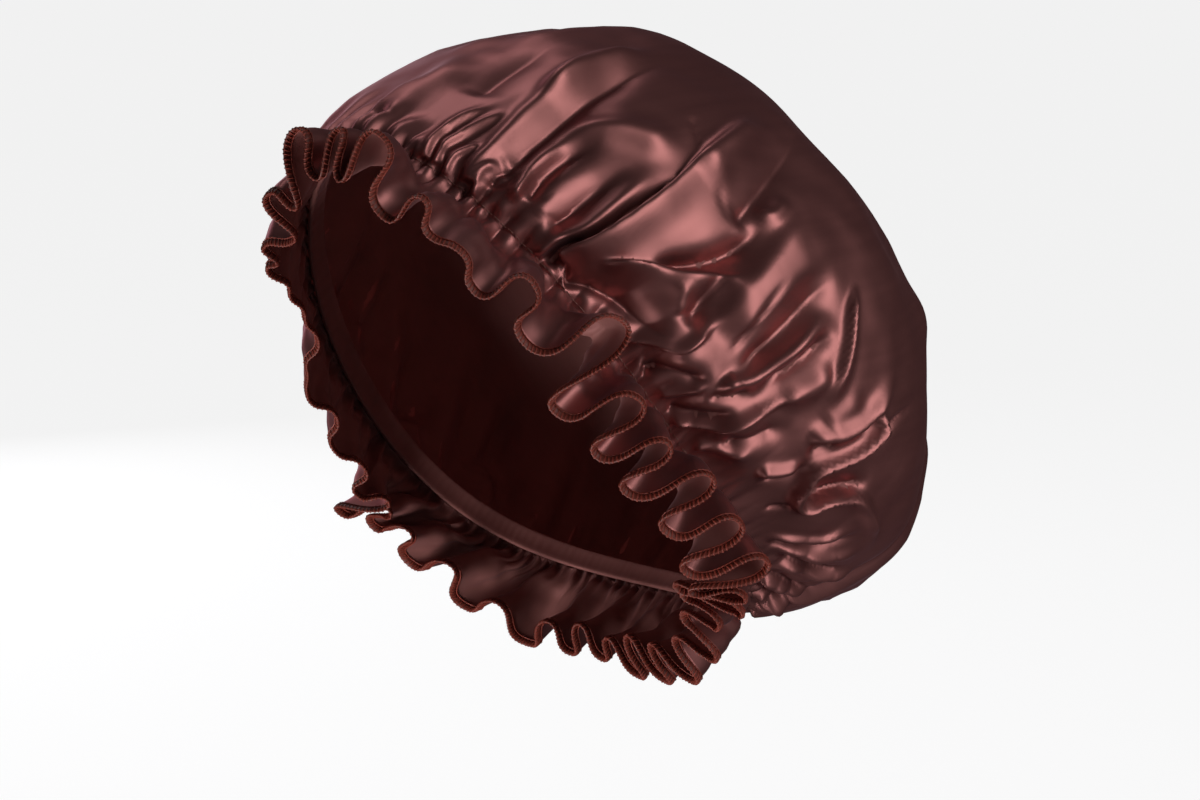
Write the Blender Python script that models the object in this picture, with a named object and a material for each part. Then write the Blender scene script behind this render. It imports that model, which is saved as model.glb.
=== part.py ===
"""Sleep bonnet: a puffed satin bag gathered on an elastic, with a frilled, overlocked edge.

Metres, +Z up, the face side towards -Y and the wearer's left towards +X. The origin is the
middle of the ring where the elastic grips the head. Tables are in millimetres and degrees.
"""
import math
import random

import bmesh
import bpy
from mathutils import Vector

MM = 0.001
GAP = 0.3                       # clear space kept between neighbouring pieces
WALL = 1.2                      # cloth wall of the bag and of the frill
CROWN_COLUMNS = 94
CROWN_ROWS = 20
GATHER_DEPTH = 1.7              # height of the small gathers just behind the elastic
RIM_GATHER = 0.5                # and on the elastic itself, where they are pulled tight
FRILL_LENGTH = 28.0             # from the elastic to the free edge
CASING_WIDTH = 8.0
CASING_THICKNESS = 2.4
EDGE_ROLL_RADIUS = 1.25         # the overlocked edge, thread over the folded cloth
EDGE_SPACE = 1.0                # clear space between the frill's cloth and that roll
OUT_OF_OPENING = Vector((0.0, -0.762, -0.648))

# Sections of the bag from the elastic (along = 0) to the middle of its back (along = 1). Each is
# a loop round the head: middle y and z, half width, half depth, half height, sag of the loop at
# the sides, and a twist that carries the widest place towards the face.
SECTIONS = [
    # along, mid_y, mid_z, width, depth, rise, sag, twist
    (0.00, -1, 0, 75, 68, 80, 15.5, 4.5),
    (0.07, 7, 3, 82, 73, 86, 12, 4),
    (0.18, 18, 8, 92, 77, 87, 9, 3),
    (0.32, 36, 21, 101, 79, 86, 6, 1),
    (0.46, 51, 38, 101, 75, 80, 4, 0),
    (0.60, 65, 56, 92, 64, 68, 2, 0),
    (0.74, 78, 72, 74, 50, 52, 0, 0),
    (0.88, 88, 84, 44, 30, 30, 0, 0),
    (0.97, 92, 88, 12, 8, 8, 0, 0),
    (1.00, 92, 88, 0, 0, 0, 0, 0),
]

# Main folds of the bag on the side that the photograph shows. Each runs through three places,
# given as the angle round the head and the way along the bag; a negative height is a hollow.
FOLDS = [
    # angle, along, angle, along, angle, along, half_width, height
    (12, 0.02, 11, 0.14, 16, 0.30, 3.0, 1.6),
    (23, 0.03, 19, 0.34, 20, 0.70, 8.0, 4.5),
    (26, 0.06, 24, 0.38, 25, 0.68, 5.0, -3.5),
    (30, 0.12, 31, 0.24, 34, 0.34, 4.0, -2.5),
    (34, 0.06, 36, 0.22, 38, 0.40, 6.5, 2.8),
    (39, 0.02, 42, 0.20, 44, 0.46, 3.5, 2.0),
    (41, 0.02, 45, 0.26, 46, 0.56, 3.0, -3.5),
    (46, 0.08, 49, 0.32, 51, 0.66, 7.0, 4.0),
    (52, 0.18, 55, 0.27, 59, 0.38, 4.0, -2.5),
    (52, 0.10, 57, 0.25, 61, 0.37, 4.0, 2.5),
    (46, 0.05, 55, 0.16, 62, 0.29, 6.0, -5.0),
    (59, 0.03, 61, 0.18, 69, 0.56, 4.5, 3.8),
    (64, 0.18, 66, 0.30, 68, 0.44, 3.0, -2.5),
    (66, 0.12, 67, 0.32, 70, 0.56, 5.0, 3.5),
    (71, 0.13, 76, 0.28, 80, 0.42, 4.5, 4.2),
    (75, 0.15, 78, 0.26, 81, 0.36, 4.5, -4.0),
    (77, 0.03, 81, 0.22, 82, 0.48, 4.5, 4.0),
    (83, 0.06, 86, 0.15, 88, 0.22, 5.0, -3.0),
    (89, 0.17, 93, 0.32, 104, 0.55, 5.5, 4.2),
    (92, 0.20, 94, 0.28, 96, 0.36, 3.0, -3.0),
    (97, 0.15, 97, 0.27, 106, 0.46, 4.5, 4.2),
    (98, 0.15, 105, 0.22, 122, 0.30, 4.5, 4.0),
    (101, 0.20, 105, 0.29, 110, 0.40, 6.0, -4.5),
    (99, 0.04, 104, 0.12, 111, 0.19, 5.0, -2.5),
    (100, 0.46, 101, 0.55, 102, 0.66, 7.0, 2.5),
]

# Broad swells and slack places that give the bag the photograph's outline.
SWELLS = [
    # angle, along, half_width, height
    (-24, 0.26, 22, 3.4),
    (-10, 0.61, 20, -1.6),
    (14, 0.76, 22, 4.0),
    (42, 0.80, 18, 1.4),
    (72, 0.79, 20, -2.6),
    (97, 0.71, 18, -3.6),
    (110, 0.64, 10, 2.6),
    (134, 0.33, 24, 3.6),
    (160, 0.07, 20, -4.0),
]

# Waves of the frill where the photograph shows them: how far its cloth leans out at each turn,
# from 0 degrees (straight on out of the opening) to 90 (square to the head).
FRILL_TURNS = [
    # angle, lean
    (-57, -33), (-51, -43), (-44, -36), (-36, -26), (-31, -10), (-28.5, -15), (-25.5, -3),
    (-17, -14), (-8.5, 20), (-4, 8), (0.3, 56), (5.2, 30), (7.4, 62), (9.9, 34), (12.2, 68), (20, 27), (23, 50), (27, 35),
    (31.5, 40), (37, 27), (40.5, 56), (46.3, 28), (52.5, 80), (56, 12), (61, 60), (64.3, 17),
    (67.6, 58), (70.6, 19), (75, 68), (78, 27), (83.5, 68), (86.8, 24), (92, 70), (96, 18),
    (101.5, 44), (106, -4), (111.5, 30), (116, -14),
]
HIDDEN_TURN_STEP = 6.2          # spacing of the turns round the back, where nothing shows

# Behind the ears the frill is swept forwards along the elastic, towards the face.
FRILL_SWEEP = [
    # angle, sweep
    (0, 0), (60, 0), (82, 0), (92, 8), (100, 28), (110, 46), (122, 50), (136, 38), (154, 12), (180, 0),
]
BACK_FOLDS = 15                 # folds of the bag on the sides that the photograph hides


def clear_scene():
    """Start from nothing."""
    for item in list(bpy.data.objects):
        bpy.data.objects.remove(item, do_unlink=True)


def blend_rows(rows, position):
    """Values between the rows of a table, along a smooth curve through them."""
    last = len(rows) - 1
    i = 0
    while i < last - 1 and position > rows[i + 1][0]:
        i += 1

    def slope(k, column):
        low = max(k - 1, 0)
        high = min(k + 1, last)
        return (rows[high][column] - rows[low][column]) / (rows[high][0] - rows[low][0])

    step = rows[i + 1][0] - rows[i][0]
    u = (position - rows[i][0]) / step
    values = []
    for column in range(1, len(rows[0])):
        start = rows[i][column]
        end = rows[i + 1][column]
        rise = (3 - 2 * u) * u * u
        value = start + (end - start) * rise
        value += slope(i, column) * step * u * (1 - u) ** 2
        value -= slope(i + 1, column) * step * u * u * (1 - u)
        values.append(value)
    return values


def smooth_bag(angle, along):
    """A place on the bag before any fold, in millimetres."""
    mid_y, mid_z, width, depth, rise, sag, twist = blend_rows(SECTIONS, along)
    x = width * math.sin(angle) + twist * math.sin(2 * angle)
    y = mid_y - depth * math.cos(angle) - 0.25 * sag * math.cos(2 * angle)
    z = mid_z + rise * math.cos(angle) + sag * math.cos(2 * angle)
    return Vector((x, y, z))


def smooth_bag_normal(angle, along):
    """The way out of the bag at a place on it."""
    along = min(max(along, 0.002), 0.965)
    step = 0.002
    round_way = smooth_bag(angle + step, along) - smooth_bag(angle - step, along)
    back_way = smooth_bag(angle, along + step) - smooth_bag(angle, along - step)
    return round_way.cross(back_way).normalized()


def ring_frame(angle):
    """Place on the elastic ring, and the three ways there: round it, outwards, and forwards."""
    place = smooth_bag(angle, 0.0)
    round_way = (smooth_bag(angle + 0.01, 0.0) - smooth_bag(angle - 0.01, 0.0)).normalized()
    outwards = OUT_OF_OPENING.cross(round_way).normalized()
    forwards = round_way.cross(outwards).normalized()
    return place, round_way, outwards, forwards


def wrapped(degrees):
    """An angle brought between -180 and 180 degrees."""
    return (degrees + 180.0) % 360.0 - 180.0


def hidden_folds():
    """Folds for the sides that the photograph hides, spaced by a rule and a fixed seed."""
    rng = random.Random(5)
    folds = []
    span = 360.0 - 115.0 - 15.0
    for i in range(BACK_FOLDS):
        angle = 125.0 + span * i / BACK_FOLDS
        start = rng.uniform(0.04, 0.10)
        end = rng.uniform(0.34, 0.66)
        drift = rng.uniform(-7.0, 7.0)
        height = rng.uniform(2.5, 4.2) * (1 if i % 2 else -1) * (1.0 if angle > 160.0 else 0.4)
        middle = (angle + 0.4 * drift, 0.5 * (start + end))
        folds.append((angle, start, *middle, angle + drift, end, 6.0, height))
    return folds


def fold_height(fold, degrees, along, radius, length):
    """Height of one fold at a place, in millimetres."""
    a0, s0, a1, s1, a2, s2, half_width, height = fold
    if along < s0 - 0.05 or along > s2 + 0.08:
        return 0.0
    clamped = min(max(along, s0), s2)
    first = (clamped - s1) * (clamped - s2) / ((s0 - s1) * (s0 - s2))
    second = (clamped - s0) * (clamped - s2) / ((s1 - s0) * (s1 - s2))
    third = (clamped - s0) * (clamped - s1) / ((s2 - s0) * (s2 - s1))
    centre = a0 * first + a1 * second + a2 * third
    slant = math.radians(a2 - a0) * radius / ((s2 - s0) * length)
    across = math.radians(wrapped(degrees - centre)) * radius / math.hypot(1.0, slant)
    rise = min(max((along - s0 + 0.05) / 0.06, 0.0), 1.0)
    fall = min(max((s2 + 0.08 - along) / 0.12, 0.0), 1.0)
    ends = rise * rise * (3 - 2 * rise) * fall * fall * (3 - 2 * fall)
    return height * ends * math.exp(-((across / half_width) ** 2))


def folded_bag(angle, column, along, folds):
    """A place on the outside of the bag, with its folds and small gathers."""
    section = blend_rows(SECTIONS, along)
    radius = 0.5 * (section[2] + 0.5 * (section[3] + section[4]))
    degrees = wrapped(math.degrees(angle))
    height = sum(fold_height(fold, degrees, along, radius, 200.0) for fold in folds)
    for swell_angle, swell_along, half_width, swell in SWELLS:
        away = smooth_bag(angle, along) - smooth_bag(math.radians(swell_angle), swell_along)
        height += swell * math.exp(-((away.length / half_width) ** 2))
    fade = math.exp(-((along / 0.13) ** 2)) * (0.35 + min(along / 0.05, 1.0) * 0.65)
    gather = GATHER_DEPTH * fade * (1.0 if column % 2 else -0.3)
    height = height * min(along / 0.08, 1.0) + gather
    return smooth_bag(angle, along) + smooth_bag_normal(angle, along) * height


def column_angles():
    """Angles of the bag's columns, closer together where the photograph shows its folds."""
    close = CROWN_COLUMNS // 2
    angles = [-20.0 + 150.0 * i / close for i in range(close)]
    angles += [130.0 + 210.0 * i / close for i in range(close)]
    return [math.radians(angle) for angle in angles]


def surface_normals(rows):
    """Way out at each place of a closed grid of rows."""
    normals = []
    count = len(rows[0])
    for j, row in enumerate(rows):
        below = rows[max(j - 1, 0)]
        above = rows[min(j + 1, len(rows) - 1)]
        line = []
        for i in range(count):
            round_way = row[(i + 1) % count] - row[i - 1]
            line.append(round_way.cross(above[i] - below[i]).normalized())
        normals.append(line)
    return normals


def make_object(name, vertices, faces, colour, roughness):
    """One closed solid of the bonnet with its own material."""
    mesh = bpy.data.meshes.new(name)
    mesh.from_pydata([tuple(place * MM) for place in vertices], [], faces)
    work = bmesh.new()
    work.from_mesh(mesh)
    bmesh.ops.recalc_face_normals(work, faces=work.faces)
    work.to_mesh(mesh)
    work.free()
    mesh.shade_smooth()
    mesh.set_sharp_from_angle(angle=math.radians(60))
    material = bpy.data.materials.new(name)
    material.use_nodes = True
    shader = material.node_tree.nodes["Principled BSDF"]
    shader.inputs["Base Color"].default_value = (*colour, 1.0)
    shader.inputs["Roughness"].default_value = roughness
    shader.inputs["Metallic"].default_value = 0.0
    mesh.materials.append(material)
    item = bpy.data.objects.new(name, mesh)
    bpy.context.scene.collection.objects.link(item)
    return item


def ring_faces(rows, count):
    """Quads between neighbouring rows of a closed grid."""
    faces = []
    for j in range(rows - 1):
        for i in range(count):
            k = (i + 1) % count
            faces.append((j * count + i, j * count + k, (j + 1) * count + k, (j + 1) * count + i))
    return faces


def build_crown():
    """The bag: outer and inner skins joined round the rim, each closed by a fan at the back."""
    angles = column_angles()
    folds = FOLDS + hidden_folds()
    alongs = [0.955 * (j / (CROWN_ROWS - 1)) ** 1.12 for j in range(CROWN_ROWS)]
    outer = []
    for along in alongs:
        outer.append([folded_bag(a, i, along, folds) for i, a in enumerate(angles)])
    normals = surface_normals(outer)
    for i, angle in enumerate(angles):
        place, _, outwards, forwards = ring_frame(angle)
        gather = RIM_GATHER * (1 if i % 2 else -1)
        outer[0][i] = place + outwards * gather - forwards * (0.5 * GAP)
        normals[0][i] = outwards
    inner = []
    for row, line in zip(outer, normals):
        inner.append([place - way * WALL for place, way in zip(row, line)])
    vertices = []
    for row in outer + inner:
        vertices.extend(row)
    count = len(angles)
    faces = ring_faces(CROWN_ROWS, count)
    start = CROWN_ROWS * count
    for face in ring_faces(CROWN_ROWS, count):
        faces.append(tuple(start + corner for corner in reversed(face)))
    for i in range(count):
        k = (i + 1) % count
        faces.append((k, i, start + i, start + k))
    back_way = smooth_bag_normal(0.0, 0.965)
    top = len(vertices)
    vertices.append(smooth_bag(0.0, 1.0) + back_way * 0.5)
    vertices.append(smooth_bag(0.0, 1.0) + back_way * (0.5 - WALL))
    last = (CROWN_ROWS - 1) * count
    for i in range(count):
        k = (i + 1) % count
        faces.append((last + i, last + k, top))
        faces.append((start + last + k, start + last + i, top + 1))
    return make_object("crown", vertices, faces, (0.20, 0.075, 0.065), 0.30)


def frill_turns():
    """All turns of the frill: those read from the photograph, then a rule round the back."""
    rng = random.Random(11)
    turns = list(FRILL_TURNS)
    first = FRILL_TURNS[-1][0]
    span = 360.0 + FRILL_TURNS[0][0] - first
    count = 2 * int(span / HIDDEN_TURN_STEP / 2) - 1
    for i in range(1, count + 1):
        angle = first + span * i / (count + 1) + rng.uniform(-0.6, 0.6)
        high = i % 2 == 1
        if abs(wrapped(angle)) > 100:
            lean = rng.uniform(0, 12) if high else rng.uniform(-26, -16)
        else:
            lean = rng.uniform(-33, -26) if high else rng.uniform(-43, -38)
        turns.append((angle, lean))
    return turns


def frill_columns():
    """Angle and lean of each column of the frill: every turn and places between the turns."""
    turns = frill_turns()
    columns = []
    for i, (angle, lean) in enumerate(turns):
        next_angle, next_lean = turns[(i + 1) % len(turns)]
        if i == len(turns) - 1:
            next_angle += 360.0
        parts = 3 if next_angle - angle > 3.4 else 2
        for k in range(parts):
            u = k / parts
            ease = 0.5 - 0.5 * math.cos(math.pi * u)
            columns.append((angle + (next_angle - angle) * u, lean + (next_lean - lean) * ease))
    return columns


def frill_place(angle, lean, reach):
    """A place on the middle of the frill's cloth, reach millimetres from the elastic."""
    place, round_way, outwards, forwards = ring_frame(math.radians(angle))
    side = wrapped(angle)
    sweep = math.radians(blend_rows(FRILL_SWEEP, abs(side))[0]) * min(reach / 10.0, 1.0)
    ahead = forwards * math.cos(sweep) - round_way * math.copysign(math.sin(sweep), side)
    lean = math.radians(lean)
    way = (ahead * math.cos(lean) + outwards * math.sin(lean)).normalized()
    return place - outwards * (0.5 * WALL) + way * reach


def build_frill():
    """The frill: a wavy strip of cloth from the elastic to the free edge."""
    columns = frill_columns()
    reaches = (0.5 * GAP + 0.6, 0.5 * FRILL_LENGTH, FRILL_LENGTH)
    middle = []
    for reach in reaches:
        line = []
        for angle, lean in columns:
            settle = 0.25 + 0.75 * min(reach / 10.0, 1.0)
            line.append(frill_place(angle, lean * settle, reach))
        middle.append(line)
    normals = surface_normals(middle)
    front = []
    back = []
    for row, line in zip(middle, normals):
        front.extend([place + way * 0.5 * WALL for place, way in zip(row, line)])
        back.extend([place - way * 0.5 * WALL for place, way in zip(row, line)])
    count = len(columns)
    rows = len(reaches)
    start = rows * count
    faces = ring_faces(rows, count)
    for face in ring_faces(rows, count):
        faces.append(tuple(start + corner for corner in reversed(face)))
    last = (rows - 1) * count
    for i in range(count):
        k = (i + 1) % count
        faces.append((k, i, start + i, start + k))
        faces.append((last + i, last + k, start + last + k, start + last + i))
    return make_object("ruffle", front + back, faces, (0.17, 0.06, 0.05), 0.36)


def build_tube(name, centres, sides, size_a, size_b, ways, colour, roughness):
    """A closed loop with the same cross-section all the way round."""
    vertices = []
    count = len(centres)
    for k in range(sides):
        turn = 2 * math.pi * (k + 0.5) / sides
        for centre, (way_a, way_b) in zip(centres, ways):
            shift = way_a * (size_a * math.cos(turn)) + way_b * (size_b * math.sin(turn))
            vertices.append(centre + shift)
    faces = []
    for k in range(sides):
        n = (k + 1) % sides
        for i in range(count):
            j = (i + 1) % count
            faces.append((k * count + i, k * count + j, n * count + j, n * count + i))
    return make_object(name, vertices, faces, colour, roughness)


def build_casing():
    """The elastic in its casing, a flat band inside the gathers, just behind the ring line."""
    centres = []
    ways = []
    corner = math.sqrt(2.0)
    inwards = 0.5 * CASING_THICKNESS + WALL + GAP + RIM_GATHER
    for i in range(60):
        place, _, outwards, forwards = ring_frame(2 * math.pi * i / 60)
        centres.append(place - outwards * inwards - forwards * (0.5 * CASING_WIDTH))
        ways.append((outwards, forwards))
    across = 0.5 * CASING_THICKNESS * corner
    along = 0.5 * CASING_WIDTH * corner
    colour = (0.15, 0.05, 0.045)
    return build_tube("elastic_casing", centres, 4, across, along, ways, colour, 0.55)


def build_overlock():
    """The overlocked free edge: a roll of thread that follows the frill's last row."""
    edge = [frill_place(angle, lean, FRILL_LENGTH) for angle, lean in frill_columns()]
    before = [frill_place(angle, lean, FRILL_LENGTH - 6.0) for angle, lean in frill_columns()]
    count = len(edge)
    centres = []
    ways = []
    for i, place in enumerate(edge):
        along = (edge[(i + 1) % count] - edge[i - 1]).normalized()
        reach = (place - before[i]).normalized()
        out = (reach - along * reach.dot(along)).normalized()
        centres.append(place + out * (EDGE_SPACE + EDGE_ROLL_RADIUS))
        ways.append((out, along.cross(out)))
    radius = EDGE_ROLL_RADIUS
    colour = (0.30, 0.08, 0.04)
    return build_tube("overlock_edge", centres, 4, radius, radius, ways, colour, 0.7)


clear_scene()
build_crown()
build_casing()
build_frill()
build_overlock()
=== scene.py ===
import math
import random

import bpy
import numpy as np
from mathutils import Matrix, Vector, noise


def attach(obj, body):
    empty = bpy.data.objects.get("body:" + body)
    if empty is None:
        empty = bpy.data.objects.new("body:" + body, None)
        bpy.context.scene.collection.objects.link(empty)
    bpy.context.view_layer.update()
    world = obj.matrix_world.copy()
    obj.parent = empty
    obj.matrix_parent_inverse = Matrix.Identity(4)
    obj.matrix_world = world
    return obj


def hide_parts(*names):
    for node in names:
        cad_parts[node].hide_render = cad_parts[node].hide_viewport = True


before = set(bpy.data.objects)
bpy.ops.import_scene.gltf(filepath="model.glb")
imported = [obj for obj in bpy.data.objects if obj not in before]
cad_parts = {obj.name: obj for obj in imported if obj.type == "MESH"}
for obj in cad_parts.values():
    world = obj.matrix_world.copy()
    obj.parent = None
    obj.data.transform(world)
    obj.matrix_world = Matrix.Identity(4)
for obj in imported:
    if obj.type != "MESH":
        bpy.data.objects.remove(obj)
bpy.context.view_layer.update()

# The camera stands 44 degrees round to the wearer's left and ten degrees up, 1.28 m from the
# middle of the head opening, with a 120 mm lens. It leans by one degree, and is moved a little
# aside and up to frame the bonnet.
camera_away, camera_aside, camera_raised = 1.28, 0.0208, 0.00896
round_by, up_by, roll = math.radians(44), math.radians(10), math.radians(1)
level = math.cos(up_by)
view_back = Vector((math.sin(round_by) * level, -math.cos(round_by) * level, math.sin(up_by)))
view_right = Vector((math.cos(round_by), math.sin(round_by), 0))
view_up = view_back.cross(view_right)
view_right, view_up = (
    view_right * math.cos(roll) + view_up * math.sin(roll),
    view_up * math.cos(roll) - view_right * math.sin(roll),
)
camera = bpy.data.objects.new("camera", bpy.data.cameras.new("camera"))
camera.data.lens, camera.data.sensor_width = 120, 36
camera.matrix_world = Matrix((view_right, view_up, view_back)).transposed().to_4x4()
camera.matrix_world.translation = (
    view_back * camera_away + view_right * camera_aside + view_up * camera_raised
)
bpy.context.scene.collection.objects.link(camera)
bpy.context.scene.camera = camera

# The bag: one disc of brown satin, glossy side out, gathered in along the elastic and puffed
# out behind it. Its folds start in the gathers and fan out over the back.
BAG_WALL = 0.9
OPENING_AXIS = [0.0, -0.762, -0.648]
# For the lie of the thread, in metres: the elastic, and the disc that the bag is cut from.
ELASTIC_LENGTH, DISC_RADIUS = 0.57, 0.2

# Shapes are worked out in millimetres. A place on the bag is an angle round the elastic, from the
# top towards the wearer's left, and a way along: 0 on the elastic, 1 at the middle of the back.
# Each loop round the bag has a middle and half sizes, and its sides sag and twist a little.
BAG_SECTIONS = [
    # along, mid_y, mid_z, width, depth, rise, sag, twist
    (0.00, -1, 0, 75, 68, 80, 15.5, 4.5),
    (0.07, 7, 3, 82, 73, 86, 12, 4),
    (0.18, 18, 8, 92, 77, 87, 9, 3),
    (0.32, 36, 21, 101, 79, 86, 6, 1),
    (0.46, 51, 38, 101, 75, 80, 4, 0),
    (0.60, 65, 56, 92, 64, 68, 2, 0),
    (0.74, 78, 72, 74, 50, 52, 0, 0),
    (0.88, 88, 84, 44, 30, 30, 0, 0),
    (0.97, 92, 88, 12, 8, 8, 0, 0),
    (1.00, 92, 88, 0, 0, 0, 0, 0),
]


def table_at(rows, position):
    """Values of a table between its rows, on a smooth curve; its first column is the position."""
    rows = np.array(rows, float)
    knots, values = rows[:, 0], rows[:, 1:]
    last = len(rows) - 1
    low = np.maximum(np.arange(last + 1) - 1, 0)
    high = np.minimum(np.arange(last + 1) + 1, last)
    slopes = (values[high] - values[low]) / (knots[high] - knots[low])[:, None]
    position = np.asarray(position, float)
    i = np.clip(np.searchsorted(knots, position) - 1, 0, last - 1)
    step = knots[i + 1] - knots[i]
    u, step = ((position - knots[i]) / step)[..., None], step[..., None]
    rise = (3 - 2 * u) * u * u
    found = values[i] + (values[i + 1] - values[i]) * rise
    return found + slopes[i] * step * u * (1 - u) ** 2 - slopes[i + 1] * step * u * u * (1 - u)


def smooth_bag(degrees, along):
    """Places on the bag before any fold."""
    degrees, along = np.broadcast_arrays(np.asarray(degrees, float), np.asarray(along, float))
    angle = np.radians(degrees)
    mid_y, mid_z, width, depth, rise, sag, twist = np.moveaxis(table_at(BAG_SECTIONS, along), -1, 0)
    x = width * np.sin(angle) + twist * np.sin(2 * angle)
    y = mid_y - depth * np.cos(angle) - 0.25 * sag * np.cos(2 * angle)
    z = mid_z + rise * np.cos(angle) + sag * np.cos(2 * angle)
    return np.stack([x, y, z], -1)


def unit(ways):
    """Ways of length one."""
    return ways / np.maximum(np.linalg.norm(ways, axis=-1, keepdims=True), 1e-12)


def bag_outwards(degrees, along):
    """The way out of the smooth bag."""
    along = np.clip(along, 0.002, 0.965)
    round_way = smooth_bag(degrees + 0.1, along) - smooth_bag(degrees - 0.1, along)
    back_way = smooth_bag(degrees, along + 0.002) - smooth_bag(degrees, along - 0.002)
    return unit(np.cross(round_way, back_way))


def elastic_frame(degrees):
    """Places on the elastic ring, and the ways round it, outwards and forwards there."""
    place = smooth_bag(degrees, 0.0)
    round_way = unit(smooth_bag(degrees + 0.5, 0.0) - smooth_bag(degrees - 0.5, 0.0))
    outwards = unit(np.cross(OPENING_AXIS, round_way))
    return place, round_way, outwards, unit(np.cross(round_way, outwards))


def ease(x):
    """A smooth start: 0 up to x = 0, 1 from x = 1 on."""
    x = np.clip(x, 0.0, 1.0)
    return x * x * (3 - 2 * x)


def fade(x):
    """A soft end: 1 at x = 0, about a third at x = 1."""
    return np.exp(-(x ** 2))


def tucks(degrees, count, seed):
    """Gathers round the elastic: uneven rounded ridges with sharp valleys, from 0 to 1."""
    turn = np.radians(degrees)
    phase = count * turn
    # How often their spacing strays round the ring, and by how much.
    for k, (speed, size) in enumerate([(3, 2.1), (7, 1.5), (13, 1.0), (22, 0.6)]):
        phase = phase + size * np.sin(speed * turn + seed * 1.7 + k * 2.3)
    ridge = np.abs(np.cos(0.5 * phase))
    uneven = 0.72 + 0.28 * np.sin(0.31 * phase + 1.3 * seed) * np.cos(5 * turn + seed)
    return ridge * uneven


def rim_tucks(degrees):
    """How far the cloth stands out on the elastic itself."""
    return 2.8 * tucks(degrees, 112, 1) - 1.5


def dented(places, waves):
    """Uneven heights over a grid of places, from waves of a strength, a size and a shift."""
    heights = [
        sum(strength * noise.noise(Vector(p) / size + Vector(shift)) for strength, size, shift in waves)
        for p in places.reshape(-1, 3)
    ]
    return np.array(heights).reshape(places.shape[:-1])


# The gathers behind the elastic, which run into fewer and longer ones.
GATHERS = [
    # count round the ring, height, share below the bag, where they begin along it, their reach
    (112, 3.2, 0.50, 0.00, 0.055),
    (56, 2.6, 0.45, 0.04, 0.15),
    (28, 1.6, 0.40, 0.10, 0.28),
]
# The gathers are drawn flat here, where the folds of the side lie over them: angle, half width.
DRAWN_FLAT = (88, 26)
DENTS = [(1.0, 26.0, (0, 0, 0)), (0.35, 11.0, (5, 1, 2))]
# Broad swells and slack places that give the bag its outline.
SWELLS = [
    # angle, way along, half width, height
    (-24, .26, 22, 3.4), (-10, .61, 20, -1.6), (14, .76, 22, 4.0), (42, .80, 18, 1.4),
    (72, .79, 20, -2.6), (97, .71, 18, -3.6), (110, .64, 10, 2.6), (134, .33, 24, 3.6),
    (160, .07, 20, -4.0),
]
# The line over the bag where it stays taut, so that the smaller folds there are shallow.
TAUT_LINE = [
    # angle, way along
    (-25, .25), (-18, .50), (0, .70), (20, .79), (46, .81), (81, .78), (103, .70), (114, .59),
    (122, .50), (130, .39), (141, .22), (152, .10),
]
TAUT_HALF_WIDTH = 20.0

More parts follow.
